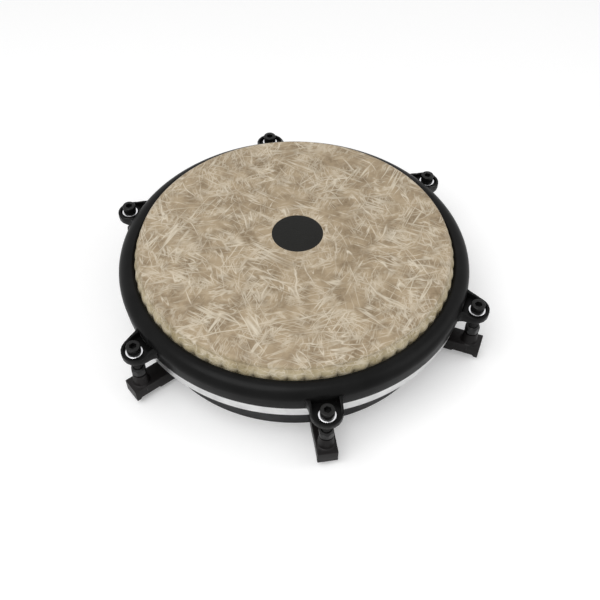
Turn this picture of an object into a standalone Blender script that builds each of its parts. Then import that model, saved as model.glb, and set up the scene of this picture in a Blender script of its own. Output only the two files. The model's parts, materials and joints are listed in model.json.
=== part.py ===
"""Shallow, top-tuned travel conga.

A pre-shaped film head lies over a low ring. A rolled crown presses on the head's flesh hoop, and six bolts
pull the crown down to nuts that stand on the bosses of six lug blocks, which are screwed to the ring.
Metres, +Z up, origin on the floor in the middle of the ring. Lug 1 points along -Y.
"""
import math

import bmesh
import bpy

# Counts
LUG_COUNT = 6
PLEAT_COUNT = 66
RING_STEPS = PLEAT_COUNT
SMALL_STEPS = 18
BORE_STEPS = 12

# Clearances
FIT_GAP = 0.0003
BOLT_PLAY = 0.0004
WELD_DISTANCE = 0.000005

# Shell ring
SHELL_RADIUS = 0.1499
SHELL_WALL = 0.0072
BEARING_EDGE_RADIUS = 0.0032
BEARING_EDGE_FALL = 0.0030
SHELL_EDGE_BREAK = 0.0006

# Drumhead
FILM_THICKNESS = 0.0012
SHOULDER_RADIUS = 0.0045
COLLAR_FLARE = 0.0038
COLLAR_THICKNESS = 0.0010
COLLAR_FLARE_HEIGHT = 0.0110
COLLAR_FLARE_SHARES = (0.0, 0.4, 1.0)
PLEAT_DEPTH = 0.0026
HEM_DEPTH = 0.0120

# Crown hoop
CROWN_SET_DOWN = 0.0122
CROWN_WIDTH = 0.0158
CROWN_WALL = 0.0030
BEAD_RADIUS = 0.0110
SKIRT_STEP = 0.0010
SKIRT_WALL = 0.0020
SKIRT_LENGTH = 0.0116
INNER_WALL_LENGTH = 0.0192

# Flesh hoop
HOOP_HEIGHT = 0.0180
HOOP_WALL = 0.0020
HOOP_BASE = 0.0030
HOOP_EDGE_BREAK = 0.0010

# Ears
BOLT_REACH = 0.0137
EAR_HALF_WIDTH = 0.0146
EAR_NOSE = 0.0116
EAR_FLOOR = 0.0030
EAR_WALL = 0.0022
EAR_RISE = 0.0045
EAR_LIP = 0.0028
EAR_HORN = 0.0074
EAR_FLARE = 0.0022
EAR_FLARE_LENGTH = 0.0060
EAR_FLARE_SHARES = (0.0, 0.4, 0.75, 1.0)
EAR_SLOPE_STEPS = 5

# Washers, bolts and nuts
WASHER_RADIUS = 0.0079
WASHER_THICKNESS = 0.0015
BOLT_RADIUS = 0.0040
BOLT_HEAD_RADIUS = 0.0065
BOLT_HEAD_HEIGHT = 0.0080
BOLT_HEAD_CHAMFER = 0.0008
KEY_ACROSS_FLATS = 0.0060
KEY_DEPTH = 0.0050
BOLT_END_HEIGHT = 0.0090
NUT_ACROSS_FLATS = 0.0128
NUT_CORNER_RADIUS = 0.0070
NUT_HEIGHT = 0.0096
NUT_CHAMFER = 0.0024
NUT_NECK_RADIUS = 0.0052
NUT_NECK_LENGTH = 0.0092
TUNING_SPAN = 0.0174

# Lug blocks
BLOCK_FLOOR = 0.0065
BLOCK_HEIGHT = 0.0139
BLOCK_WIDTH = 0.0188
BLOCK_OVERHANG = 0.0120
BLOCK_RECESS = 0.0018
BLOCK_PAD = 0.0040
BLOCK_FOOT = 0.0200
BLOCK_CHAMFER = 0.0005
BOSS_HEIGHT = 0.0127
BOSS_WALL = 0.0012
BOSS_TAPER = 0.0008
BOSS_FILLET = 0.0020

# Lug screws
SCREW_RADIUS = 0.0030
SCREW_PLAY = 0.0004
SCREW_HEAD_RADIUS = 0.0052
SCREW_HEAD_HEIGHT = 0.0032
SCREW_GRIP = 0.0130

# Radii that follow, from the shell outwards
SHELL_INNER = SHELL_RADIUS - SHELL_WALL
FILM_RADIUS = SHELL_RADIUS + FIT_GAP + FILM_THICKNESS
COLLAR_RADIUS = FILM_RADIUS + COLLAR_FLARE
CROWN_INNER = COLLAR_RADIUS + FIT_GAP
CROWN_OUTER = CROWN_INNER + CROWN_WIDTH
BEAD_X = CROWN_OUTER - BEAD_RADIUS
LIP_X = CROWN_INNER + CROWN_WALL
SKIRT_RADIUS = CROWN_OUTER - SKIRT_STEP
HOOP_OUTER = SKIRT_RADIUS - SKIRT_WALL - FIT_GAP
BOLT_CIRCLE = SKIRT_RADIUS + BOLT_REACH
EAR_END = BOLT_CIRCLE + EAR_NOSE
BLOCK_END = BOLT_CIRCLE + BLOCK_OVERHANG
BORE_RADIUS = BOLT_RADIUS + BOLT_PLAY
SEAT_RADIUS = NUT_NECK_RADIUS + FIT_GAP
BOSS_RADIUS = SEAT_RADIUS + BOSS_WALL

# Heights that follow, from the floor upwards
BLOCK_TOP = BLOCK_FLOOR + BLOCK_HEIGHT
SCREW_HEIGHT = BLOCK_FLOOR + 0.5 * BLOCK_HEIGHT
BOSS_TOP = BLOCK_TOP + BOSS_HEIGHT
NUT_BOTTOM = BOSS_TOP + FIT_GAP
NUT_TOP = NUT_BOTTOM + NUT_HEIGHT
NECK_END = NUT_BOTTOM - NUT_NECK_LENGTH
EAR_BOTTOM = NUT_TOP + TUNING_SPAN
EAR_SEAT = EAR_BOTTOM + EAR_FLOOR
WASHER_BOTTOM = EAR_SEAT + FIT_GAP
HEAD_SEAT = WASHER_BOTTOM + WASHER_THICKNESS + FIT_GAP
BOLT_TOP = HEAD_SEAT + BOLT_HEAD_HEIGHT
BOLT_END = BLOCK_FLOOR + BOLT_END_HEIGHT
CROWN_BOTTOM = EAR_BOTTOM - EAR_RISE
SKIRT_TOP = CROWN_BOTTOM + SKIRT_LENGTH
BEAD_Z = SKIRT_TOP + SKIRT_STEP
LIP_Z = BEAD_Z + math.sqrt((BEAD_RADIUS - CROWN_WALL) ** 2 - (BEAD_X - LIP_X) ** 2)
CROWN_TOP = BEAD_Z + BEAD_RADIUS
INNER_WALL_END = CROWN_TOP - INNER_WALL_LENGTH
HOOP_TOP = INNER_WALL_END - FIT_GAP
HOOP_BOTTOM = HOOP_TOP - HOOP_HEIGHT
HEAD_TOP = CROWN_TOP + CROWN_SET_DOWN
FILM_EDGE = HEAD_TOP - SHOULDER_RADIUS
COLLAR_TOP = FILM_EDGE - FIT_GAP
COLLAR_BOTTOM = HOOP_TOP - HEM_DEPTH
SHELL_HEIGHT = HEAD_TOP - FILM_THICKNESS - FIT_GAP


def clear_scene():
    for obj in list(bpy.data.objects):
        bpy.data.objects.remove(obj, do_unlink=True)


def new_collection(name):
    collection = bpy.data.collections.new(name)
    bpy.context.scene.collection.children.link(collection)
    return collection


def new_material(name, color, roughness, metallic):
    material = bpy.data.materials.new(name)
    material.use_nodes = True
    shader = material.node_tree.nodes["Principled BSDF"]
    shader.inputs["Base Color"].default_value = (*color, 1.0)
    shader.inputs["Roughness"].default_value = roughness
    shader.inputs["Metallic"].default_value = metallic
    return material


def arc(center_x, center_z, radius, start, end, count):
    """Points on an arc, from start to end degrees, ends included."""
    points = []
    for i in range(count):
        angle = math.radians(start + (end - start) * i / (count - 1))
        points.append((center_x + radius * math.cos(angle), center_z + radius * math.sin(angle)))
    return points


def link(mesh, name, collection, material=None):
    obj = bpy.data.objects.new(name, mesh)
    collection.objects.link(obj)
    if material is not None:
        mesh.materials.clear()
        mesh.materials.append(material)
    return obj


def turned(name, outline, steps, collection, closed=True):
    """A profile in the XZ plane turned round Z. The outline runs down its outer side."""
    count = len(outline)
    edges = [(i, i + 1) for i in range(count - 1)]
    if closed:
        edges.append((count - 1, 0))
    mesh = bpy.data.meshes.new(name)
    mesh.from_pydata([(x, 0.0, z) for x, z in outline], edges, [])
    obj = link(mesh, name, collection)
    screw = obj.modifiers.new("Turn", "SCREW")
    screw.axis = "Z"
    screw.steps = steps
    screw.render_steps = steps
    screw.use_merge_vertices = True
    screw.merge_threshold = WELD_DISTANCE
    return obj


def plate(name, outline, low, high, collection):
    """A flat outline in XY, filled and given a thickness from low to high."""
    curve = bpy.data.curves.new(name, "CURVE")
    curve.dimensions = "2D"
    curve.fill_mode = "BOTH"
    curve.extrude = 0.5 * (high - low)
    spline = curve.splines.new("POLY")
    spline.points.add(len(outline) - 1)
    for point, (x, y) in zip(spline.points, outline):
        point.co = (x, y, 0.0, 1.0)
    spline.use_cyclic_u = True
    obj = bpy.data.objects.new(name, curve)
    collection.objects.link(obj)
    obj.location.z = 0.5 * (low + high)
    return as_mesh(obj, collection)


def as_mesh(obj, collection):
    """Replace an object by the mesh that it evaluates to, welded."""
    bpy.context.view_layer.update()
    depsgraph = bpy.context.evaluated_depsgraph_get()
    mesh = bpy.data.meshes.new_from_object(obj.evaluated_get(depsgraph))
    mesh.transform(obj.matrix_world)
    name = obj.name
    bpy.data.objects.remove(obj, do_unlink=True)
    mesh.name = name
    work = bmesh.new()
    work.from_mesh(mesh)
    bmesh.ops.remove_doubles(work, verts=work.verts, dist=WELD_DISTANCE)
    bmesh.ops.recalc_face_normals(work, faces=work.faces)
    work.to_mesh(mesh)
    work.free()
    return link(mesh, name, collection)


def tube(name, radius, low, high, steps, collection, sides_turn=0.0):
    """An upright cylinder or prism between two heights."""
    bpy.ops.mesh.primitive_cylinder_add(vertices=steps, radius=radius, depth=high - low,
                                        location=(0.0, 0.0, 0.5 * (low + high)), rotation=(0.0, 0.0, sides_turn))
    obj = bpy.context.object
    obj.name = name
    for holder in list(obj.users_collection):
        holder.objects.unlink(obj)
    collection.objects.link(obj)
    return as_mesh(obj, collection)


def guide(obj):
    obj.display_type = "WIRE"
    obj.hide_render = True
    return obj


def combine(obj, tool, operation):
    boolean = obj.modifiers.new(operation.title(), "BOOLEAN")
    boolean.operation = operation
    boolean.solver = "EXACT"
    boolean.object = tool


def soften(obj, width, angle=35.0):
    bevel = obj.modifiers.new("Soften", "BEVEL")
    bevel.width = width
    bevel.segments = 1
    bevel.limit_method = "ANGLE"
    bevel.angle_limit = math.radians(angle)


def smooth(mesh, angle=32.0):
    mesh.shade_smooth()
    mesh.set_sharp_from_angle(angle=math.radians(angle))


def finish(obj, name, material, collection):
    """Apply what is on a piece and keep it as a node."""
    piece = as_mesh(obj, collection)
    piece.name = name
    piece.data.name = name
    piece.data.materials.clear()
    piece.data.materials.append(material)
    smooth(piece.data)
    return piece


def around(first, stem, collection):
    """Six copies of the piece at lug 1, one at each lug."""
    mesh = first.data
    bpy.data.objects.remove(first, do_unlink=True)
    mesh.name = stem
    for i in range(LUG_COUNT):
        obj = bpy.data.objects.new(f"{stem}_{i + 1}", mesh)
        collection.objects.link(obj)
        obj.rotation_euler.z = i * 2.0 * math.pi / LUG_COUNT


def lug_position(index):
    angle = -0.5 * math.pi + index * 2.0 * math.pi / LUG_COUNT
    return BOLT_CIRCLE * math.cos(angle), BOLT_CIRCLE * math.sin(angle)


def at_bolts(first, stem, collection):
    """Six copies of a piece that is modelled round its own axis, one on each bolt's axis."""
    mesh = first.data
    bpy.data.objects.remove(first, do_unlink=True)
    mesh.name = stem
    for i in range(LUG_COUNT):
        obj = bpy.data.objects.new(f"{stem}_{i + 1}", mesh)
        collection.objects.link(obj)
        x, y = lug_position(i)
        obj.location = (x, y, 0.0)
        obj.rotation_euler.z = i * 2.0 * math.pi / LUG_COUNT


def crown_outside(offset):
    """The crown's outer side from its top down to its skirt's edge, grown by an offset."""
    bead = arc(BEAD_X, BEAD_Z, BEAD_RADIUS + offset, 90.0, 0.0, 6)
    return bead + [(SKIRT_RADIUS + offset, SKIRT_TOP - offset), (SKIRT_RADIUS + offset, CROWN_BOTTOM)]


def make_shell_ring(parts, cutters, material):
    peak = SHELL_RADIUS - BEARING_EDGE_RADIUS
    outline = arc(peak, SHELL_HEIGHT - BEARING_EDGE_RADIUS, BEARING_EDGE_RADIUS, 90.0, 0.0, 3)
    outline += [
        (SHELL_RADIUS, SHELL_EDGE_BREAK),
        (SHELL_RADIUS - SHELL_EDGE_BREAK, 0.0),
        (SHELL_INNER + SHELL_EDGE_BREAK, 0.0),
        (SHELL_INNER, SHELL_EDGE_BREAK),
        (SHELL_INNER, SHELL_HEIGHT - BEARING_EDGE_FALL),
    ]
    ring = turned("shell_ring", outline, RING_STEPS, parts)
    for i in range(LUG_COUNT):
        hole = tube(f"shell_hole_{i + 1}", SCREW_RADIUS + SCREW_PLAY, SHELL_INNER - SHELL_WALL,
                    SHELL_RADIUS + SHELL_WALL, BORE_STEPS, cutters)
        hole.rotation_euler = (0.5 * math.pi, 0.0, i * 2.0 * math.pi / LUG_COUNT)
        hole.location.z = SCREW_HEIGHT
        combine(ring, guide(hole), "DIFFERENCE")
    finish(ring, "shell_ring", material, parts)


def make_film(parts, material):
    corner = FILM_RADIUS - SHOULDER_RADIUS
    top = arc(corner, FILM_EDGE, SHOULDER_RADIUS, 90.0, 0.0, 4)
    under = arc(corner, FILM_EDGE, SHOULDER_RADIUS - FILM_THICKNESS, 0.0, 90.0, 3)
    outline = [(0.0, HEAD_TOP)] + top + under + [(0.0, HEAD_TOP - FILM_THICKNESS)]
    film = turned("drumhead_film", outline, RING_STEPS, parts, closed=False)
    finish(film, "drumhead_film", material, parts)


def collar_radius(height, pleat):
    """Outer radius of the collar. pleat is 1 on a pleat's crest and 0 in its valley."""
    fall = min(max((COLLAR_TOP - height) / COLLAR_FLARE_HEIGHT, 0.0), 1.0)
    ease = math.sin(0.5 * math.pi * fall)
    return FILM_RADIUS + COLLAR_FLARE * ease - PLEAT_DEPTH * ease * (1.0 - pleat)


def make_collar(parts, material):
    heights = [COLLAR_TOP - COLLAR_FLARE_HEIGHT * share for share in COLLAR_FLARE_SHARES] + [COLLAR_BOTTOM]
    columns = 2 * PLEAT_COUNT
    work = bmesh.new()
    rows = []
    for height in heights:
        row = []
        for i in range(columns):
            angle = 2.0 * math.pi * i / columns
            radius = collar_radius(height, pleat=1.0 - i % 2)
            row.append(work.verts.new((radius * math.cos(angle), radius * math.sin(angle), height)))
        rows.append(row)
    for upper, lower in zip(rows, rows[1:]):
        for i in range(columns):
            j = (i + 1) % columns
            work.faces.new((upper[i], lower[i], lower[j], upper[j]))
    mesh = bpy.data.meshes.new("drumhead_collar")
    work.to_mesh(mesh)
    work.free()
    collar = link(mesh, "drumhead_collar", parts)
    wall = collar.modifiers.new("Wall", "SOLIDIFY")
    wall.thickness = COLLAR_THICKNESS
    wall.offset = -1.0
    finish(collar, "drumhead_collar", material, parts)


def make_crown(parts, material):
    meet = math.degrees(math.atan2(LIP_Z - BEAD_Z, LIP_X - BEAD_X))
    lip = arc(LIP_X, LIP_Z, CROWN_WALL, 180.0, meet, 3)
    bead = arc(BEAD_X, BEAD_Z, BEAD_RADIUS, meet, 0.0, 6)[1:]
    cavity = arc(BEAD_X, BEAD_Z, BEAD_RADIUS - CROWN_WALL, 0.0, meet, 3)
    skirt = [
        (SKIRT_RADIUS, SKIRT_TOP),
        (SKIRT_RADIUS, CROWN_BOTTOM),
        (SKIRT_RADIUS - SKIRT_WALL, CROWN_BOTTOM),
        (SKIRT_RADIUS - SKIRT_WALL, SKIRT_TOP),
    ]
    inner_wall = [(LIP_X, INNER_WALL_END), (CROWN_INNER, INNER_WALL_END)]
    crown = turned("crown_hoop", lip + bead + skirt + cavity + inner_wall, RING_STEPS, parts)
    finish(crown, "crown_hoop", material, parts)


def make_flesh_hoop(parts, material):
    outline = [
        (HOOP_OUTER, HOOP_TOP),
        (HOOP_OUTER, HOOP_BOTTOM + HOOP_EDGE_BREAK),
        (HOOP_OUTER - HOOP_EDGE_BREAK, HOOP_BOTTOM),
        (CROWN_INNER + HOOP_EDGE_BREAK, HOOP_BOTTOM),
        (CROWN_INNER, HOOP_BOTTOM + HOOP_EDGE_BREAK),
        (CROWN_INNER, HOOP_TOP),
        (CROWN_INNER + HOOP_WALL, HOOP_TOP),
        (CROWN_INNER + HOOP_WALL, HOOP_BOTTOM + HOOP_BASE),
        (HOOP_OUTER - HOOP_WALL, HOOP_BOTTOM + HOOP_BASE),
        (HOOP_OUTER - HOOP_WALL, HOOP_TOP),
    ]
    hoop = turned("flesh_hoop", outline, RING_STEPS, parts)
    finish(hoop, "flesh_hoop", material, parts)


def ear_outline(inset, flare_width):
    """U-shape that opens towards the crown, its sides flared where they meet the skirt."""
    half = EAR_HALF_WIDTH - inset
    nose = EAR_END - EAR_HALF_WIDTH
    root = SKIRT_RADIUS - SKIRT_WALL
    flare_start = SKIRT_RADIUS + EAR_FLARE_LENGTH
    nose_arc = arc(0.0, -nose, half, 0.0, -180.0, 11)
    flare = [(half + flare_width * share * share, -(flare_start - EAR_FLARE_LENGTH * share))
             for share in EAR_FLARE_SHARES]
    right = [(half + flare_width, -root)] + flare[::-1]
    left = [(-x, y) for x, y in flare] + [(-half - flare_width, -root)]
    return right + nose_arc + left


def make_ears(parts, cutters, material):
    horn_top = EAR_SEAT + EAR_HORN
    lip_top = EAR_SEAT + EAR_LIP
    # The pocket's sides run straight, so the wall is thickest at the horns
    ear = plate("ear", ear_outline(0.0, EAR_FLARE), EAR_BOTTOM, horn_top, parts)
    pocket = plate("ear_pocket", ear_outline(EAR_WALL, 0.0), EAR_SEAT, horn_top + EAR_WALL, cutters)
    # The wall's top falls in a soft S-curve from the rounded horns to the nose
    half_rise = 0.5 * (horn_top - lip_top)
    run = BOLT_CIRCLE - SKIRT_RADIUS
    fall = []
    for i in range(EAR_SLOPE_STEPS + 1):
        share = i / EAR_SLOPE_STEPS
        height = lip_top + half_rise * (1.0 + math.cos(math.pi * share))
        fall.append((SKIRT_RADIUS + EAR_WALL + run * share, height))
    high = horn_top + EAR_WALL
    side = [(SKIRT_RADIUS + EAR_WALL, high)] + fall + [(EAR_END + EAR_WALL, lip_top), (EAR_END + EAR_WALL, high)]
    slope = plate("ear_slope", side, -2.0 * EAR_HALF_WIDTH, 2.0 * EAR_HALF_WIDTH, cutters)
    slope.rotation_euler = (0.5 * math.pi, 0.0, -0.5 * math.pi)
    bore = tube("ear_bore", BORE_RADIUS, EAR_BOTTOM - EAR_FLOOR, EAR_SEAT + EAR_FLOOR, SMALL_STEPS, cutters)
    bore.location.y = -BOLT_CIRCLE
    inside = SHELL_RADIUS
    clearance = [(inside, CROWN_TOP + FIT_GAP)] + crown_outside(FIT_GAP)[:-1]
    clearance += [(SKIRT_RADIUS + FIT_GAP, EAR_BOTTOM - EAR_FLOOR), (inside, EAR_BOTTOM - EAR_FLOOR)]
    crown_space = turned("crown_space", clearance, RING_STEPS, cutters)
    for tool in (pocket, slope, bore, crown_space):
        combine(ear, guide(tool), "DIFFERENCE")
    around(finish(ear, "ear", material, parts), "ear", parts)


def make_washers(parts, material):
    outline = [
        (WASHER_RADIUS, WASHER_BOTTOM + WASHER_THICKNESS),
        (WASHER_RADIUS, WASHER_BOTTOM),
        (BORE_RADIUS, WASHER_BOTTOM),
        (BORE_RADIUS, WASHER_BOTTOM + WASHER_THICKNESS),
    ]
    washer = turned("washer", outline, SMALL_STEPS, parts)
    at_bolts(finish(washer, "washer", material, parts), "washer", parts)


def make_bolts(parts, cutters, material):
    outline = [
        (0.0, BOLT_TOP),
        (BOLT_HEAD_RADIUS - BOLT_HEAD_CHAMFER, BOLT_TOP),
        (BOLT_HEAD_RADIUS, BOLT_TOP - BOLT_HEAD_CHAMFER),
        (BOLT_HEAD_RADIUS, HEAD_SEAT),
        (BOLT_RADIUS, HEAD_SEAT),
        (BOLT_RADIUS, BOLT_END + BOLT_HEAD_CHAMFER),
        (BOLT_RADIUS - BOLT_HEAD_CHAMFER, BOLT_END),
        (0.0, BOLT_END),
    ]
    bolt = turned("tuning_bolt", outline, SMALL_STEPS, parts, closed=False)
    key_radius = 0.5 * KEY_ACROSS_FLATS / math.cos(math.pi / 6.0)
    socket = tube("key_socket", key_radius, BOLT_TOP - KEY_DEPTH, BOLT_TOP + KEY_DEPTH, 6, cutters)
    combine(bolt, guide(socket), "DIFFERENCE")
    at_bolts(finish(bolt, "tuning_bolt", material, parts), "tuning_bolt", parts)


def make_nuts(parts, cutters, material):
    outline = [
        (NUT_NECK_RADIUS, NUT_TOP),
        (NUT_CORNER_RADIUS, NUT_TOP - NUT_CHAMFER),
        (NUT_CORNER_RADIUS, NUT_BOTTOM + NUT_CHAMFER),
        (NUT_NECK_RADIUS, NUT_BOTTOM),
        (NUT_NECK_RADIUS, NECK_END),
        (BORE_RADIUS, NECK_END),
        (BORE_RADIUS, NUT_TOP),
    ]
    nut = turned("tuning_nut", outline, BORE_STEPS, parts)
    hexagon = tube("nut_hexagon", 0.5 * NUT_ACROSS_FLATS / math.cos(math.pi / 6.0), NECK_END - NUT_HEIGHT,
                   NUT_TOP + NUT_HEIGHT, 6, cutters)
    combine(nut, guide(hexagon), "INTERSECT")
    at_bolts(finish(nut, "tuning_nut", material, parts), "tuning_nut", parts)


def make_blocks(parts, cutters, material):
    foot = SHELL_RADIUS + BLOCK_FOOT
    side = [
        (SHELL_INNER, BLOCK_TOP),
        (BLOCK_END, BLOCK_TOP),
        (BLOCK_END, BLOCK_FLOOR),
        (BLOCK_END - BLOCK_PAD, BLOCK_FLOOR),
        (BLOCK_END - BLOCK_PAD - BLOCK_RECESS, BLOCK_FLOOR + BLOCK_RECESS),
        (foot + BLOCK_RECESS, BLOCK_FLOOR + BLOCK_RECESS),
        (foot, BLOCK_FLOOR),
        (SHELL_INNER, BLOCK_FLOOR),
    ]
    block = plate("lug_block", side, -0.5 * BLOCK_WIDTH, 0.5 * BLOCK_WIDTH, parts)
    block.rotation_euler = (0.5 * math.pi, 0.0, -0.5 * math.pi)
    soften(block, BLOCK_CHAMFER, 60.0)
    foot_radius = BOSS_RADIUS + BOSS_TAPER
    fillet = arc(foot_radius + BOSS_FILLET, BLOCK_TOP + BOSS_FILLET, BOSS_FILLET, 180.0, 270.0, 3)
    boss_outline = [(0.0, BOSS_TOP), (BOSS_RADIUS, BOSS_TOP)] + fillet
    boss_outline += [(fillet[-1][0], SCREW_HEIGHT), (0.0, SCREW_HEIGHT)]
    boss = turned("lug_boss", boss_outline, SMALL_STEPS, cutters, closed=False)
    boss.location.y = -BOLT_CIRCLE
    combine(block, guide(boss), "UNION")
    bore = tube("block_bore", BORE_RADIUS, BLOCK_FLOOR - BLOCK_HEIGHT, BOSS_TOP + BLOCK_HEIGHT, BORE_STEPS, cutters)
    seat = tube("nut_seat", SEAT_RADIUS, NECK_END - FIT_GAP, BOSS_TOP + BLOCK_HEIGHT, BORE_STEPS, cutters)
    for tool in (bore, seat):
        tool.location.y = -BOLT_CIRCLE
    screw_hole = tube("block_hole", SCREW_RADIUS + SCREW_PLAY, SHELL_INNER, SHELL_RADIUS + SCREW_GRIP + SCREW_PLAY,
                      BORE_STEPS, cutters)
    screw_hole.rotation_euler = (0.5 * math.pi, 0.0, 0.0)
    screw_hole.location.z = SCREW_HEIGHT
    shell_space = tube("shell_space", SHELL_RADIUS + FIT_GAP, -BLOCK_HEIGHT, BLOCK_TOP + BLOCK_HEIGHT,
                       RING_STEPS, cutters, sides_turn=0.5 * math.pi)
    for tool in (bore, seat, screw_hole, shell_space):
        combine(block, guide(tool), "DIFFERENCE")
    around(finish(block, "lug_block", material, parts), "lug_block", parts)


def make_lug_screws(parts, material):
    seat = SHELL_INNER - FIT_GAP
    outline = [
        (0.0, SHELL_RADIUS + SCREW_GRIP),
        (SCREW_RADIUS, SHELL_RADIUS + SCREW_GRIP),
        (SCREW_RADIUS, seat),
        (SCREW_HEAD_RADIUS, seat),
        (SCREW_HEAD_RADIUS, seat - 0.5 * SCREW_HEAD_HEIGHT),
        (0.5 * SCREW_HEAD_RADIUS, seat - SCREW_HEAD_HEIGHT),
        (0.0, seat - SCREW_HEAD_HEIGHT),
    ]
    screw = turned("lug_screw", outline, BORE_STEPS, parts, closed=False)
    screw.rotation_euler = (0.5 * math.pi, 0.0, 0.0)
    screw.location.z = SCREW_HEIGHT
    around(finish(screw, "lug_screw", material, parts), "lug_screw", parts)


def build():
    clear_scene()
    parts = new_collection("conga")
    cutters = new_collection("cutters")
    skin = new_material("fibre_film", (0.60, 0.51, 0.38), 0.5, 0.0)
    collar_skin = new_material("collar_film", (0.55, 0.46, 0.33), 0.55, 0.0)
    crown_black = new_material("crown_black", (0.02, 0.02, 0.02), 0.4, 0.6)
    ear_black = new_material("ear_black", (0.014, 0.014, 0.014), 0.35, 0.6)
    ring_black = new_material("ring_black", (0.03, 0.03, 0.032), 0.45, 0.0)
    block_black = new_material("block_black", (0.022, 0.021, 0.021), 0.4, 0.6)
    bolt_black = new_material("bolt_black", (0.02, 0.02, 0.02), 0.3, 0.8)
    nut_black = new_material("nut_black", (0.02, 0.02, 0.02), 0.32, 0.8)
    screw_steel = new_material("screw_steel", (0.35, 0.35, 0.36), 0.35, 1.0)
    washer_chrome = new_material("washer_chrome", (0.80, 0.80, 0.82), 0.12, 1.0)
    hoop_aluminium = new_material("hoop_aluminium", (0.85, 0.85, 0.85), 0.35, 1.0)
    make_shell_ring(parts, cutters, ring_black)
    make_film(parts, skin)
    make_collar(parts, collar_skin)
    make_crown(parts, crown_black)
    make_flesh_hoop(parts, hoop_aluminium)
    make_ears(parts, cutters, ear_black)
    make_washers(parts, washer_chrome)
    make_bolts(parts, cutters, bolt_black)
    make_nuts(parts, cutters, nut_black)
    make_blocks(parts, cutters, block_black)
    make_lug_screws(parts, screw_steel)


build()
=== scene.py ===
"""Looks of a shallow, top-tuned travel conga. Metres, +Z up, lug 1 points along -Y.

The frame gives the outer sizes and the bolts' axes. The sizes below are those that its boxes don't show.
"""
import json
import math

import bmesh
import bpy
from mathutils import Matrix, Vector


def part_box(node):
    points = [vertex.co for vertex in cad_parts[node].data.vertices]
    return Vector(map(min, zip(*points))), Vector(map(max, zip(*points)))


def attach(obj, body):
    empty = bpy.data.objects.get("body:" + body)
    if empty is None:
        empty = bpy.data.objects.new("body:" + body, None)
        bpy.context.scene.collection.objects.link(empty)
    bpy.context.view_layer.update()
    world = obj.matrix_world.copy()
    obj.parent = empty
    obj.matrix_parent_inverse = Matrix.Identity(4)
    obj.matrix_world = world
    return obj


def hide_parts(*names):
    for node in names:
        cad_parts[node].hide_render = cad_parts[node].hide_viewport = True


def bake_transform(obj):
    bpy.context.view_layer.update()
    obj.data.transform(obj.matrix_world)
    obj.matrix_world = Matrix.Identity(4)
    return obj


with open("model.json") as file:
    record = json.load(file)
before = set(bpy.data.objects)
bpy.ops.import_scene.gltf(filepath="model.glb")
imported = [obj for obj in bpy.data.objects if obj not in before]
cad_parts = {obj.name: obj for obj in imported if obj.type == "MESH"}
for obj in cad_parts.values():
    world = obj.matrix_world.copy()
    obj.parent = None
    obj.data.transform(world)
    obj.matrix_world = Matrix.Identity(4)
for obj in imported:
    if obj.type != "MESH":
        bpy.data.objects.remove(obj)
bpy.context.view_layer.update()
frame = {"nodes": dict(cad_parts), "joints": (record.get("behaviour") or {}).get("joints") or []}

# Camera, as solved from the photograph
CAMERA_PLACE = Vector((-0.08162, -0.53815, 0.64061))
CAMERA_TURN = 0.161294
CAMERA_PITCH = 0.865940
CAMERA_ROLL = -0.006410
CAMERA_LENS = 47.90
CAMERA_SENSOR = 36.0
CAMERA_NEAR = 0.01
CAMERA_FAR = 50.0

# Light: the world's level on the object, and the lamps' name, place, size and power
WORLD_LEVEL = 0.55
WHITE = (1.0, 1.0, 1.0, 1.0)
LAMPS = (
    ("key_softbox", (-0.6, -0.5, 1.5), 1.2, 14.0),
    ("fill_softbox", (1.2, -0.4, 0.9), 1.0, 4.0),
)

# Floor: lifted a little towards white for the camera, and its shadow stays
FLOOR_HALF = 4.0
FLOOR_LIFT = 0.20
FLOOR_ROUGHNESS = 0.9
FLOOR_GLOSS = 0.1
FLOOR_WHITE = (0.900, 0.900, 0.900)
FLOOR_TINT = 0.99

# Counts, steps round an upright axis, and the angle from which an edge is shaded sharp
LUG_COUNT = 6
PLEAT_COUNT = 66
RING_STEPS = 4 * PLEAT_COUNT
COLLAR_STEPS = 10 * PLEAT_COUNT
SMALL_STEPS = 48
SHARP_ANGLE = math.radians(30.0)

# Drumhead. A higher onset lets the pleats deepen later, and a lower crest power makes them rounder
SHOULDER_RADIUS = 0.0045
SHOULDER_ROWS = 14
SHOULDER_INNER_ROWS = 8
FILM_THICKNESS = 0.0012
FILM_CENTRE = 0.0005
COLLAR_FLARE_HEIGHT = 0.0110
COLLAR_THICKNESS = 0.0010
COLLAR_ROWS = 12
PLEAT_DEPTH = 0.0026
PLEAT_ONSET = 1.6
CREST_POWER = 0.7

# Crown hoop and flesh hoop. The inner wall's end is a height above the floor
CROWN_WALL = 0.0030
CROWN_WIDTH = 0.0158
BEAD_RADIUS = 0.0110
BEAD_ROWS = 24
BEAD_INNER_ROWS = 10
LIP_ROWS = 10
SKIRT_STEP = 0.0010
SKIRT_WALL = 0.0020
SKIRT_LENGTH = 0.0116
SKIRT_ROUND = 0.0005
SKIRT_ROUND_ROWS = 4
INNER_WALL_END = 0.0603
HOOP_WALL = 0.0020
HOOP_BASE = 0.0030
HOOP_ROUND = 0.0010
HOOP_ROUND_ROWS = 5

# Shell ring
SHELL_WALL = 0.0072
SHELL_ROUND = 0.0006
SHELL_ROUND_ROWS = 4
BEARING_EDGE_RADIUS = 0.0032
BEARING_EDGE_ROWS = 8

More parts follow.
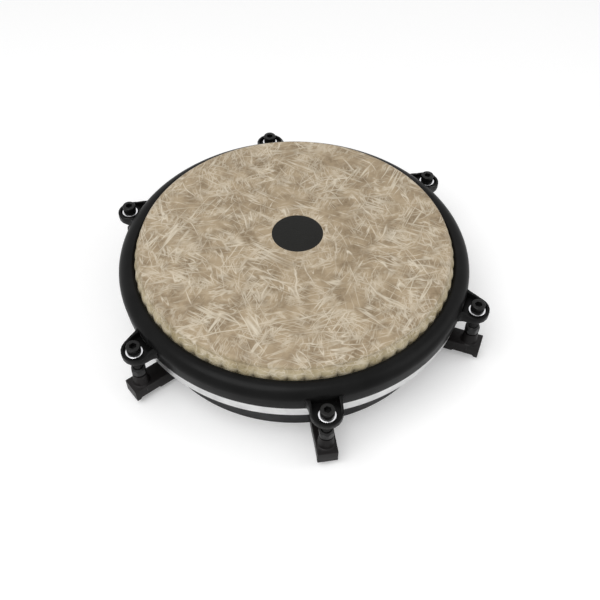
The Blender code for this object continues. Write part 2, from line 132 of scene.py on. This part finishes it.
# Bolts, nuts and washers. Out of sight inside the nut, the thread gives way to a plain core
HEAD_HEIGHT = 0.0080
HEAD_ROUND = 0.0009
HEAD_ROUND_ROWS = 5
SHANK_RADIUS = 0.0040
KEY_APOTHEM = 0.0030
KEY_DEPTH = 0.0050
KEY_BREAK = 0.0003
THREAD_PITCH = 0.00125
THREAD_DEPTH = 0.0006
THREAD_ROWS_PER_TURN = 4
THREAD_INTO_NUT = 0.0070
NUT_APOTHEM = 0.0064
NUT_CORNER = 0.0070
NUT_NECK = 0.0052
NUT_HEIGHT = 0.0096
NUT_CHAMFER = 0.0024
NUT_CHAMFER_ROWS = 4
BORE_RADIUS = 0.0044
WASHER_ROUND = 0.0003
WASHER_ROUND_ROWS = 3

# Softened edges of the ears, blocks and lug screws, which keep their frame shape
WELD_DISTANCE = 0.00001
CAST_EDGE = 0.0006
SCREW_EDGE = 0.5 * CAST_EDGE
EDGE_SEGMENTS = 3
EDGE_ANGLE = math.radians(40.0)

# Skin of the drumhead: colours on the flat and where it folds down, lighter there as painted light on the
# collar's slope, and how far down they change
SKIN_DARK = (0.215, 0.158, 0.095)
SKIN_MID = (0.400, 0.312, 0.205)
SKIN_FIBRE = (0.760, 0.690, 0.560)
# Painted light: the collar's colours are lighter than the flat's and stand in for light on the sloping
# collar
COLLAR_LIT_DARK = (0.330, 0.265, 0.140)
COLLAR_LIT_MID = (0.560, 0.480, 0.310)
PAINTED_LIGHT_DROP = 0.0060
SKIN_GLOSS = 0.20
SKIN_RELIEF = 0.00008
SKIN_ROUGHNESS = (0.42, 0.58)
GRAIN_SHARE = 0.50

# The plain dot, which lies a little off the head's axis in the photograph
DOT_RADIUS = 0.0250
DOT_PLACE = (0.0042, 0.0074)
DOT_BLACK = (0.004, 0.004, 0.003)

# Fibre layers of the skin: scale, stretch, line width, strength. Each is turned by the golden angle
FIBRE_LAYERS = (
    (70.0, 6.0, 0.024, 0.95),
    (95.0, 7.0, 0.030, 0.85),
    (120.0, 5.0, 0.034, 0.75),
    (85.0, 8.0, 0.026, 0.90),
    (160.0, 5.0, 0.045, 0.65),
    (110.0, 6.0, 0.032, 0.80),
    (60.0, 4.5, 0.020, 1.00),
    (210.0, 4.0, 0.060, 0.55),
)
FIBRE_SHARE = 0.80
FIBRE_TURN = 2.39996
FIBRE_SHIFT = 1.7
FIBRE_DETAIL = 2.0
FIBRE_BEND = 0.4
PATCH_SCALE = 16.0
PATCH_SCALE_STEP = 5.0
PATCH_DETAIL = 3.0
PATCH_RANGE = (0.46, 0.60)

# Noises: scale and detail, and the range of a noise's value that is used
NOISE_MIDDLE = 0.5
NOISE_RANGE = (0.30, 0.70)
SKIN_CLOUDS = (70.0, 6.0)
SKIN_CLOUD_RANGE = (0.36, 0.62)
SKIN_GRAIN = (420.0, 3.0)
SKIN_SHEEN = (60.0, 2.0)
COAT_BLOTCHES = (45.0, 4.0)
COAT_SHEEN = (70.0, 3.0)
COAT_PEEL = (1500.0, 2.0)
METAL_TONES = (90.0, 4.0)
METAL_SHEEN = (130.0, 3.0)
METAL_MARKS = (260.0, 4.0)
FLOOR_TONES = (3.0, 2.0)

# Black coats: base colour, least and most roughness, specular level
COATS = {
    "crown_coat": ((0.004, 0.004, 0.004), 0.30, 0.38, 0.09),
    "ear_coat": ((0.003, 0.003, 0.003), 0.28, 0.38, 0.10),
    "ring_coat": ((0.016, 0.016, 0.017), 0.40, 0.55, 0.30),
    "block_coat": ((0.007, 0.006, 0.006), 0.32, 0.44, 0.18),
    "bolt_oxide": ((0.005, 0.005, 0.005), 0.22, 0.34, 0.22),
    "nut_oxide": ((0.005, 0.005, 0.005), 0.25, 0.36, 0.30),
}
COAT_WEAR = 1.8
PEEL_RELIEF = 0.00003
PEEL_STRENGTH = 0.6

# Bright metals: base colour, least and most roughness, depth of the relief
METALS = {
    "hoop_aluminium": ((0.900, 0.900, 0.900), 0.28, 0.45, 0.00025),
    "washer_chrome": ((0.860, 0.860, 0.880), 0.08, 0.18, 0.00001),
    "screw_steel": ((0.450, 0.450, 0.460), 0.25, 0.40, 0.00001),
}
METAL_SHADE = 0.82

film_low, film_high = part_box("drumhead_film")
collar_low, collar_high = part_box("drumhead_collar")
crown_low, crown_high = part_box("crown_hoop")
hoop_low, hoop_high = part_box("flesh_hoop")
ring_low, ring_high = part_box("shell_ring")
bolt_low, bolt_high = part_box("tuning_bolt_1")
nut_low, nut_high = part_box("tuning_nut_1")
washer_low, washer_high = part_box("washer_1")
bolt_turns = [joint for joint in frame["joints"] if joint["type"] == "hinge"]
crown_inner = crown_high.x - CROWN_WIDTH
washer_radius = 0.5 * (washer_high.x - washer_low.x)
head_radius = 0.5 * (bolt_high.x - bolt_low.x)


def arc(center_x, center_z, radius, start, end, count):
    """Rows on an arc, from start to end degrees, ends included."""
    rows = []
    for i in range(count):
        angle = math.radians(start + (end - start) * i / (count - 1))
        rows.append((center_x + radius * math.cos(angle), center_z + radius * math.sin(angle)))
    return rows


def hexagon(apothem):
    """Radius of a hexagon by angle, a corner at angle zero."""
    def radius(angle):
        return apothem / math.cos(angle % (math.pi / 3.0) - math.pi / 6.0)
    return radius


def lofted(name, rows, steps, closed, center=(0.0, 0.0), turn=0.0):
    """Rings round an upright axis. A row is (radius, height), its radius a number or a rule by angle."""
    work = bmesh.new()
    rings = []
    for radius, height in rows:
        ring = []
        for i in range(steps):
            angle = 2.0 * math.pi * i / steps
            reach = radius(angle) if callable(radius) else radius
            x = center[0] + reach * math.cos(angle + turn)
            y = center[1] + reach * math.sin(angle + turn)
            ring.append(work.verts.new((x, y, height)))
        rings.append(ring)
    following = rings[1:] + ([rings[0]] if closed else [])
    for upper, lower in zip(rings, following):
        for i in range(steps):
            j = (i + 1) % steps
            work.faces.new((upper[i], lower[i], lower[j], upper[j]))
    if not closed:
        work.faces.new(rings[0])
        work.faces.new(rings[-1][::-1])
    mesh = bpy.data.meshes.new(name)
    work.to_mesh(mesh)
    work.free()
    mesh.shade_smooth()
    mesh.set_sharp_from_angle(angle=SHARP_ANGLE)
    obj = bpy.data.objects.new(name, mesh)
    bpy.context.scene.collection.objects.link(obj)
    return obj


def dress(obj, material, slot, body, *nodes):
    """Give a piece its finish and its body, and hide the nodes that it stands for."""
    obj.data.materials.append(material)
    if body is not None:
        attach(obj, body)
    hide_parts(*nodes)


class Nodes:
    """A node tree, with short calls for the nodes that materials and the world share."""

    def __init__(self, tree):
        self.tree = tree

    def feed(self, socket, value):
        """Link a socket to another node's output, or set its value."""
        if isinstance(value, bpy.types.NodeSocket):
            self.tree.links.new(value, socket)
        else:
            socket.default_value = value

    def light_path(self):
        return self.tree.nodes.new("ShaderNodeLightPath").outputs

    def maths(self, operation, first, second=0.0):
        node = self.tree.nodes.new("ShaderNodeMath")
        node.operation = operation
        self.feed(node.inputs[0], first)
        self.feed(node.inputs[1], second)
        return node.outputs["Value"]

    def span(self, value, low, high, to_low=0.0, to_high=1.0):
        """Spread the range from low to high over another range."""
        node = self.tree.nodes.new("ShaderNodeMapRange")
        self.feed(node.inputs["Value"], value)
        node.inputs["From Min"].default_value = low
        node.inputs["From Max"].default_value = high
        node.inputs["To Min"].default_value = to_low
        node.inputs["To Max"].default_value = to_high
        return node.outputs["Result"]


class Shader(Nodes):
    """A material's nodes, placed in the object's own coordinates."""

    def __init__(self, name):
        self.material = bpy.data.materials.new(name)
        self.material.use_nodes = True
        super().__init__(self.material.node_tree)
        self.surface = self.tree.nodes["Principled BSDF"]
        self.place = self.tree.nodes.new("ShaderNodeTexCoord").outputs["Object"]

    def set(self, **values):
        """Set inputs of the surface that are the same all over it."""
        for name, value in values.items():
            self.surface.inputs[name.replace("_", " ")].default_value = value

    def color(self, value):
        self.feed(self.surface.inputs["Base Color"], value)

    def roughness(self, value):
        self.feed(self.surface.inputs["Roughness"], value)

    def noise(self, scale, detail, distortion=0.0, place=None):
        node = self.tree.nodes.new("ShaderNodeTexNoise")
        self.feed(node.inputs["Vector"], place or self.place)
        node.inputs["Scale"].default_value = scale
        node.inputs["Detail"].default_value = detail
        node.inputs["Distortion"].default_value = distortion
        return node.outputs["Fac"]

    def wander(self, noise, low=0.0, high=1.0):
        """A noise that wanders between two values."""
        return self.span(self.noise(*noise), *NOISE_RANGE, low, high)

    def stretched(self, turn, stretch, shift):
        """Coordinates turned first and then stretched, so that each turn gives its own direction."""
        node = self.tree.nodes.new("ShaderNodeMapping")
        node.vector_type = "TEXTURE"
        self.feed(node.inputs["Vector"], self.place)
        node.inputs["Location"].default_value = (shift, shift, shift)
        node.inputs["Rotation"].default_value = (0.0, 0.0, turn)
        node.inputs["Scale"].default_value = (stretch, 1.0, 1.0)
        return node.outputs["Vector"]

    def axes(self):
        node = self.tree.nodes.new("ShaderNodeSeparateXYZ")
        self.feed(node.inputs["Vector"], self.place)
        return node.outputs

    def mix(self, share, first, second):
        node = self.tree.nodes.new("ShaderNodeMix")
        node.data_type = "RGBA"
        self.feed(node.inputs[0], share)
        for socket, value in ((node.inputs[6], first), (node.inputs[7], second)):
            self.feed(socket, (*value, 1.0) if isinstance(value, tuple) else value)
        return node.outputs[2]

    def bump(self, height, distance, strength=1.0):
        node = self.tree.nodes.new("ShaderNodeBump")
        self.feed(node.inputs["Height"], height)
        node.inputs["Distance"].default_value = distance
        node.inputs["Strength"].default_value = strength
        self.feed(self.surface.inputs["Normal"], node.outputs["Normal"])


def shaded(color, share):
    return tuple(share * channel for channel in color)


def fibres(shader):
    """Pale tangled fibres: thin lines where stretched, wandering noise passes its middle value."""
    lines = 0.0
    for i, (scale, stretch, width, strength) in enumerate(FIBRE_LAYERS):
        place = shader.stretched(i * FIBRE_TURN, stretch, (i + 1) * FIBRE_SHIFT)
        field = shader.noise(scale, FIBRE_DETAIL, FIBRE_BEND, place)
        off_middle = shader.maths("ABSOLUTE", shader.maths("SUBTRACT", field, NOISE_MIDDLE))
        line = shader.span(off_middle, 0.0, width, strength, 0.0)
        patch_field = shader.noise(PATCH_SCALE + PATCH_SCALE_STEP * i, PATCH_DETAIL)
        patch = shader.span(patch_field, *PATCH_RANGE)
        lines = shader.maths("MAXIMUM", lines, shader.maths("MULTIPLY", line, patch))
    return lines


def dot_mask(shader, axes):
    """One inside the printed dot on the film's top, zero elsewhere."""
    x_off = shader.maths("SUBTRACT", axes["X"], DOT_PLACE[0])
    y_off = shader.maths("SUBTRACT", axes["Y"], DOT_PLACE[1])
    x_square = shader.maths("MULTIPLY", x_off, x_off)
    y_square = shader.maths("MULTIPLY", y_off, y_off)
    reach = shader.maths("SQRT", shader.maths("ADD", x_square, y_square))
    printed = shader.maths("LESS_THAN", reach, DOT_RADIUS)
    on_top = shader.maths("GREATER_THAN", axes["Z"], film_high.z - 0.5 * FILM_THICKNESS)
    return shader.maths("MULTIPLY", printed, on_top)


def film_material(name):
    """Fibre film: greyer on the flat, lighter and yellower where it folds down as painted light on the
    collar, with a plain printed dot.
    """
    shader = Shader(name)
    axes = shader.axes()
    # Share of the flat's colours by height; below it the collar's colours paint light onto its slope
    flat = shader.span(axes["Z"], film_low.z - PAINTED_LIGHT_DROP, film_high.z)
    dark = shader.mix(flat, COLLAR_LIT_DARK, SKIN_DARK)
    mid = shader.mix(flat, COLLAR_LIT_MID, SKIN_MID)
    cloud = shader.span(shader.noise(*SKIN_CLOUDS), *SKIN_CLOUD_RANGE)
    grain = shader.wander(SKIN_GRAIN)
    ground = shader.mix(shader.maths("MULTIPLY", grain, GRAIN_SHARE), shader.mix(cloud, dark, mid), mid)
    lines = fibres(shader)
    color = shader.mix(shader.maths("MULTIPLY", lines, FIBRE_SHARE), ground, SKIN_FIBRE)
    shader.color(shader.mix(dot_mask(shader, axes), color, DOT_BLACK))
    shader.roughness(shader.wander(SKIN_SHEEN, *SKIN_ROUGHNESS))
    shader.set(Specular_IOR_Level=SKIN_GLOSS)
    shader.bump(shader.maths("ADD", lines, grain), SKIN_RELIEF)
    return shader.material


def coated_material(name):
    """Satin black coat: faint blotches, fine orange peel, roughness that wanders."""
    base, smoothest, roughest, gloss = COATS[name]
    shader = Shader(name)
    shader.color(shader.mix(shader.wander(COAT_BLOTCHES), base, shaded(base, COAT_WEAR)))
    shader.roughness(shader.wander(COAT_SHEEN, smoothest, roughest))
    shader.set(Specular_IOR_Level=gloss)
    shader.bump(shader.noise(*COAT_PEEL), PEEL_RELIEF, PEEL_STRENGTH)
    return shader.material


def metal_material(name):
    """Bright metal: faint tones, fine marks, roughness that wanders."""
    base, smoothest, roughest, relief = METALS[name]
    shader = Shader(name)
    shader.color(shader.mix(shader.wander(METAL_TONES), shaded(base, METAL_SHADE), base))
    shader.roughness(shader.wander(METAL_SHEEN, smoothest, roughest))
    shader.set(Metallic=1.0)
    shader.bump(shader.noise(*METAL_MARKS), relief)
    return shader.material


def floor_material(name):
    """White floor, lifted for the camera alone."""
    shader = Shader(name)
    shader.color(shader.mix(shader.wander(FLOOR_TONES), FLOOR_WHITE, shaded(FLOOR_WHITE, FLOOR_TINT)))
    shader.set(Roughness=FLOOR_ROUGHNESS, Specular_IOR_Level=FLOOR_GLOSS, Emission_Color=WHITE)
    lift = shader.span(shader.light_path()["Is Camera Ray"], 0.0, 1.0, 0.0, FLOOR_LIFT)
    shader.feed(shader.surface.inputs["Emission Strength"], lift)
    return shader.material


def make_film(material):
    """Flat playing surface with its rolled shoulder."""
    corner = film_high.x - SHOULDER_RADIUS
    edge = film_high.z - SHOULDER_RADIUS
    rows = [(FILM_CENTRE, film_high.z)]
    rows += arc(corner, edge, SHOULDER_RADIUS, 90.0, 0.0, SHOULDER_ROWS)
    rows += arc(corner, edge, SHOULDER_RADIUS - FILM_THICKNESS, 0.0, 90.0, SHOULDER_INNER_ROWS)
    rows += [(FILM_CENTRE, film_high.z - FILM_THICKNESS)]
    dress(lofted("head_film", rows, RING_STEPS, False), material, "film", "shell", "drumhead_film")


def pleated(base, depth, inset):
    """Radius of the collar at one height: rounded pleats with sharp creases between them."""
    def radius(angle):
        crest = abs(math.cos(0.5 * PLEAT_COUNT * angle)) ** CREST_POWER
        return base - inset - depth * (1.0 - crest)
    return radius


def make_collar(material):
    """Pleated collar, from the film's edge down inside the flesh hoop, stretched by the crown."""
    flare = collar_high.x - film_high.x
    top = film_low.z
    levels = [top - COLLAR_FLARE_HEIGHT * i / COLLAR_ROWS for i in range(COLLAR_ROWS + 1)]
    levels.append(collar_low.z)
    outside = []
    inside = []
    for height in levels:
        fall = min((top - height) / COLLAR_FLARE_HEIGHT, 1.0)
        base = film_high.x + flare * math.sin(0.5 * math.pi * fall)
        depth = PLEAT_DEPTH * fall ** PLEAT_ONSET
        outside.append((pleated(base, depth, 0.0), height))
        inside.append((pleated(base, depth, COLLAR_THICKNESS), height))
    collar = lofted("head_collar", outside + inside[::-1], COLLAR_STEPS, True)
    dress(collar, material, "film", None, "drumhead_collar")
    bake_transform(collar)


def make_crown(material):
    """Rolled hoop: an upright inner wall, a lip, a large bead and a thin skirt below it."""
    bead_x = crown_high.x - BEAD_RADIUS
    skirt_top = crown_low.z + SKIRT_LENGTH
    bead_z = skirt_top + SKIRT_STEP
    lip_x = crown_inner + CROWN_WALL
    lip_z = bead_z + math.sqrt((BEAD_RADIUS - CROWN_WALL) ** 2 - (bead_x - lip_x) ** 2)
    meet = math.degrees(math.atan2(lip_z - bead_z, lip_x - bead_x))
    skirt = crown_high.x - SKIRT_STEP
    foot_x = skirt - SKIRT_ROUND
    foot_z = crown_low.z + SKIRT_ROUND
    rows = arc(lip_x, lip_z, CROWN_WALL, 180.0, meet, LIP_ROWS)
    rows += arc(bead_x, bead_z, BEAD_RADIUS, meet, 0.0, BEAD_ROWS)[1:]
    rows += [(skirt, skirt_top)]
    rows += arc(foot_x, foot_z, SKIRT_ROUND, 0.0, -90.0, SKIRT_ROUND_ROWS)
    rows += [(skirt - SKIRT_WALL, crown_low.z), (skirt - SKIRT_WALL, skirt_top)]
    rows += arc(bead_x, bead_z, BEAD_RADIUS - CROWN_WALL, 0.0, meet, BEAD_INNER_ROWS)
    rows += [(lip_x, INNER_WALL_END), (crown_inner, INNER_WALL_END)]
    dress(lofted("crown_rim", rows, RING_STEPS, True), material, "crown", "crown", "crown_hoop")


def make_flesh_hoop(material):
    """Channel open to the top, of which the outer wall shows as the pale band."""
    outer = hoop_high.x
    foot = hoop_low.z + HOOP_ROUND
    floor = hoop_low.z + HOOP_BASE
    rows = [(outer, hoop_high.z)]
    rows += arc(outer - HOOP_ROUND, foot, HOOP_ROUND, 0.0, -90.0, HOOP_ROUND_ROWS)
    rows += arc(crown_inner + HOOP_ROUND, foot, HOOP_ROUND, -90.0, -180.0, HOOP_ROUND_ROWS)
    rows += [
        (crown_inner, hoop_high.z),
        (crown_inner + HOOP_WALL, hoop_high.z),
        (crown_inner + HOOP_WALL, floor),
        (outer - HOOP_WALL, floor),
        (outer - HOOP_WALL, hoop_high.z),
    ]
    dress(lofted("head_hoop", rows, RING_STEPS, True), material, "hoop", "crown", "flesh_hoop")


def make_ring(material):
    """Shell ring with its bearing edge on top and softened lower corners."""
    outer = ring_high.x
    inner = outer - SHELL_WALL
    peak = outer - BEARING_EDGE_RADIUS
    edge = ring_high.z - BEARING_EDGE_RADIUS
    foot = ring_low.z + SHELL_ROUND
    rows = arc(peak, edge, BEARING_EDGE_RADIUS, 90.0, 0.0, BEARING_EDGE_ROWS)
    rows += arc(outer - SHELL_ROUND, foot, SHELL_ROUND, 0.0, -90.0, SHELL_ROUND_ROWS)
    rows += arc(inner + SHELL_ROUND, foot, SHELL_ROUND, -90.0, -180.0, SHELL_ROUND_ROWS)
    rows += [(inner, edge)]
    dress(lofted("low_ring", rows, RING_STEPS, True), material, "ring", "shell", "shell_ring")


def threaded(height):
    """Radius of a right-hand thread by angle, at one height."""
    def radius(angle):
        phase = (height / THREAD_PITCH - angle / (2.0 * math.pi)) % 1.0
        return SHANK_RADIUS - THREAD_DEPTH * abs(2.0 * phase - 1.0)
    return radius


def bolt_rows():
    """Socket head cap screw: key socket, rounded head, threaded shank."""
    top = bolt_high.z
    seat = top - HEAD_HEIGHT
    core = SHANK_RADIUS - THREAD_DEPTH
    rows = [
        (hexagon(KEY_APOTHEM), top - KEY_DEPTH),
        (hexagon(KEY_APOTHEM), top - KEY_BREAK),
        (hexagon(KEY_APOTHEM + KEY_BREAK), top),
    ]
    rows += arc(head_radius - HEAD_ROUND, top - HEAD_ROUND, HEAD_ROUND, 90.0, 0.0, HEAD_ROUND_ROWS)
    rows += [(head_radius, seat + KEY_BREAK), (head_radius - KEY_BREAK, seat), (SHANK_RADIUS, seat)]
    start = seat - THREAD_PITCH
    end = nut_high.z - THREAD_INTO_NUT
    count = int(THREAD_ROWS_PER_TURN * (start - end) / THREAD_PITCH)
    for i in range(count):
        height = start - i * THREAD_PITCH / THREAD_ROWS_PER_TURN
        rows.append((threaded(height), height))
    return rows + [(core, end - THREAD_PITCH), (core, bolt_low.z)]


def chamfered(limit):
    """Radius of the nut's hexagon, cut back to a cone's radius at one height."""
    flat = hexagon(NUT_APOTHEM)

    def radius(angle):
        return min(flat(angle), limit)
    return radius


def nut_rows():
    """Hexagon chamfered at both ends, with the neck that stands in the boss."""
    top = nut_high.z
    foot = top - NUT_HEIGHT
    upper = []
    lower = []
    for i in range(NUT_CHAMFER_ROWS + 1):
        share = i / NUT_CHAMFER_ROWS
        limit = NUT_NECK + (NUT_CORNER - NUT_NECK) * math.sin(0.5 * math.pi * share)
        upper.append((chamfered(limit), top - NUT_CHAMFER * share))
        lower.append((chamfered(limit), foot + NUT_CHAMFER * share))
    neck = [(NUT_NECK, nut_low.z), (BORE_RADIUS, nut_low.z), (BORE_RADIUS, top)]
    return upper + lower[::-1] + neck


def washer_rows():
    """Flat washer with its outer edges broken."""
    top = washer_high.z
    low = washer_low.z
    edge = washer_radius - WASHER_ROUND
    rows = arc(edge, top - WASHER_ROUND, WASHER_ROUND, 90.0, 0.0, WASHER_ROUND_ROWS)
    rows += arc(edge, low + WASHER_ROUND, WASHER_ROUND, 0.0, -90.0, WASHER_ROUND_ROWS)
    return rows + [(BORE_RADIUS, low), (BORE_RADIUS, top)]


def make_tuning(bolt_black, nut_black, chrome):
    """Bolt, nut and washer at each lug, round the axis that the lug's joint gives."""
    for i, joint in enumerate(bolt_turns, 1):
        center = joint["pos_m"][:2]
        turn = math.atan2(center[1], center[0])
        bolt = lofted(f"bolt_{i}", bolt_rows(), SMALL_STEPS, False, center, turn)
        dress(bolt, bolt_black, "bolt", joint["child"], f"tuning_bolt_{i}")
        nut = lofted(f"nut_{i}", nut_rows(), SMALL_STEPS, True, center, turn)
        dress(nut, nut_black, "nut", "shell", f"tuning_nut_{i}")
        washer = lofted(f"bright_washer_{i}", washer_rows(), SMALL_STEPS, True, center, turn)
        dress(washer, chrome, "washer", "crown", f"washer_{i}")


def keep_node(name, material, edge):
    """A frame node whose shape is right: new material, welded and with softened edges."""
    obj = frame["nodes"][name]
    obj.data.materials.clear()
    obj.data.materials.append(material)
    weld = obj.modifiers.new("Weld", "WELD")
    weld.merge_threshold = WELD_DISTANCE
    bevel = obj.modifiers.new("Soften", "BEVEL")
    bevel.width = edge
    bevel.segments = EDGE_SEGMENTS
    bevel.limit_method = "ANGLE"
    bevel.angle_limit = EDGE_ANGLE
    bevel.harden_normals = True
    obj.data.shade_smooth()


def make_lugs():
    """Ear, block and lug screw at each lug."""
    ear_coat = coated_material("ear_coat")
    block_coat = coated_material("block_coat")
    steel = metal_material("screw_steel")
    for i in range(1, LUG_COUNT + 1):
        keep_node(f"ear_{i}", ear_coat, CAST_EDGE)
        keep_node(f"lug_block_{i}", block_coat, CAST_EDGE)
        keep_node(f"lug_screw_{i}", steel, SCREW_EDGE)


def make_object():
    skin = film_material("film_skin")
    make_film(skin)
    make_collar(skin)
    make_crown(coated_material("crown_coat"))
    make_flesh_hoop(metal_material("hoop_aluminium"))
    make_ring(coated_material("ring_coat"))
    bolt_black = coated_material("bolt_oxide")
    nut_black = coated_material("nut_oxide")
    make_tuning(bolt_black, nut_black, metal_material("washer_chrome"))
    make_lugs()


def make_world():
    """White where it is seen, also by reflection or through glass, and a plain level of light elsewhere."""
    world = bpy.data.worlds.new("Studio")
    bpy.context.scene.world = world
    world.use_nodes = True
    nodes = Nodes(world.node_tree)
    rays = nodes.light_path()
    seen = nodes.maths("MAXIMUM", rays["Is Camera Ray"], rays["Is Glossy Ray"])
    clear = nodes.maths("MAXIMUM", seen, rays["Is Transmission Ray"])
    background = nodes.tree.nodes["Background"]
    background.inputs["Color"].default_value = WHITE
    nodes.feed(background.inputs["Strength"], nodes.span(clear, 0.0, 1.0, WORLD_LEVEL, 1.0))


def make_lamps():
    """Square softboxes that face the origin."""
    for name, place, size, power in LAMPS:
        lamp = bpy.data.lights.new(name, "AREA")
        lamp.size = size
        lamp.energy = power
        obj = bpy.data.objects.new(name, lamp)
        obj.location = place
        obj.rotation_euler = (-Vector(place)).to_track_quat("-Z", "Y").to_euler()
        bpy.context.scene.collection.objects.link(obj)


def make_floor():
    bpy.ops.mesh.primitive_plane_add(size=2.0 * FLOOR_HALF, location=(0.0, 0.0, ring_low.z))
    floor = bpy.context.object
    floor.name = "floor"
    floor.data.materials.append(floor_material("floor_white"))


def make_camera():
    """Camera at the solved place, turned by its three solved angles."""
    forward = Vector((
        math.sin(CAMERA_TURN) * math.cos(CAMERA_PITCH),
        math.cos(CAMERA_TURN) * math.cos(CAMERA_PITCH),
        -math.sin(CAMERA_PITCH),
    ))
    level_right = Vector((math.cos(CAMERA_TURN), -math.sin(CAMERA_TURN), 0.0))
    level_down = forward.cross(level_right)
    right = math.cos(CAMERA_ROLL) * level_right + math.sin(CAMERA_ROLL) * level_down
    down = -math.sin(CAMERA_ROLL) * level_right + math.cos(CAMERA_ROLL) * level_down
    data = bpy.data.cameras.new("camera")
    data.lens = CAMERA_LENS
    data.sensor_width = CAMERA_SENSOR
    data.clip_start = CAMERA_NEAR
    data.clip_end = CAMERA_FAR
    camera = bpy.data.objects.new("camera", data)
    turn = Matrix((right, -down, -forward)).transposed()
    camera.matrix_world = Matrix.Translation(CAMERA_PLACE) @ turn.to_4x4()
    bpy.context.scene.collection.objects.link(camera)
    bpy.context.scene.camera = camera


bpy.context.scene.view_settings.view_transform = "Standard"
make_camera()
make_world()
make_lamps()
make_floor()
make_object()
bpy.context.view_layer.update()
